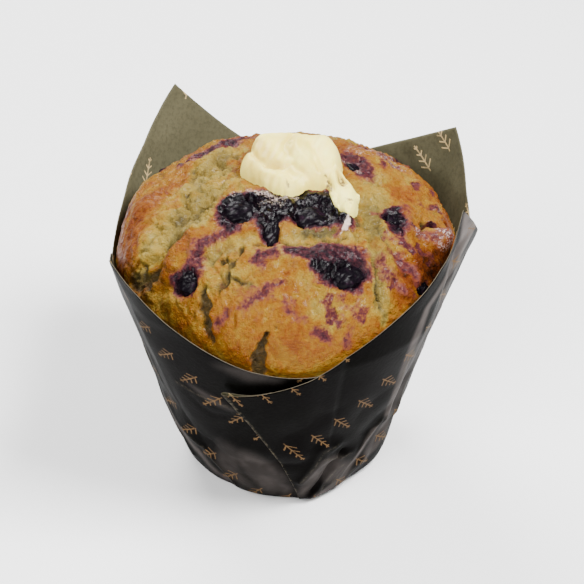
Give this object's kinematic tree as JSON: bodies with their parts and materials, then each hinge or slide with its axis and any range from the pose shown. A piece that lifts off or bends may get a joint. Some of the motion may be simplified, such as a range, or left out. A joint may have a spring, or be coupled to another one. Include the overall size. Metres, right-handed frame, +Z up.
{
  "type": "muffin",
  "caption": "Tall blueberry muffin with a domed, cracked crust and a dollop of cream on top, baked in a dark tulip case folded from a square of paper, its corners standing up.",
  "frame": {"origin": "middle of the flat base, on the surface that the muffin stands on", "axes": "+Z up; the picture was taken from the -Y side, where the front pleat of the case is"},
  "size_m": [0.0905, 0.0899, 0.0886],
  "materials": {
    "crust": "baked crumb, golden brown, from matt in the cracks to a soft sheen on the crust",
    "paper": "black baking paper, printed thinly in gold, with a faint waxy sheen",
    "cream": "ivory cream, smooth, with a soft sheen",
    "berry": "baked blueberry, near black, wet and glossy"
  },
  "bodies": {
    "root": {"muffin": "crust", "paper_case": "paper", "cream": "cream", "berry_left": "berry", "berry_upper_left": "berry", "berry_middle_left": "berry", "berry_middle_right": "berry", "berry_right": "berry", "berry_far_right": "berry", "berry_beside_cream": "berry", "berry_rim": "berry", "berry_back": "berry", "berry_back_left": "berry", "berry_back_right": "berry"}
  },
  "joints": []
}
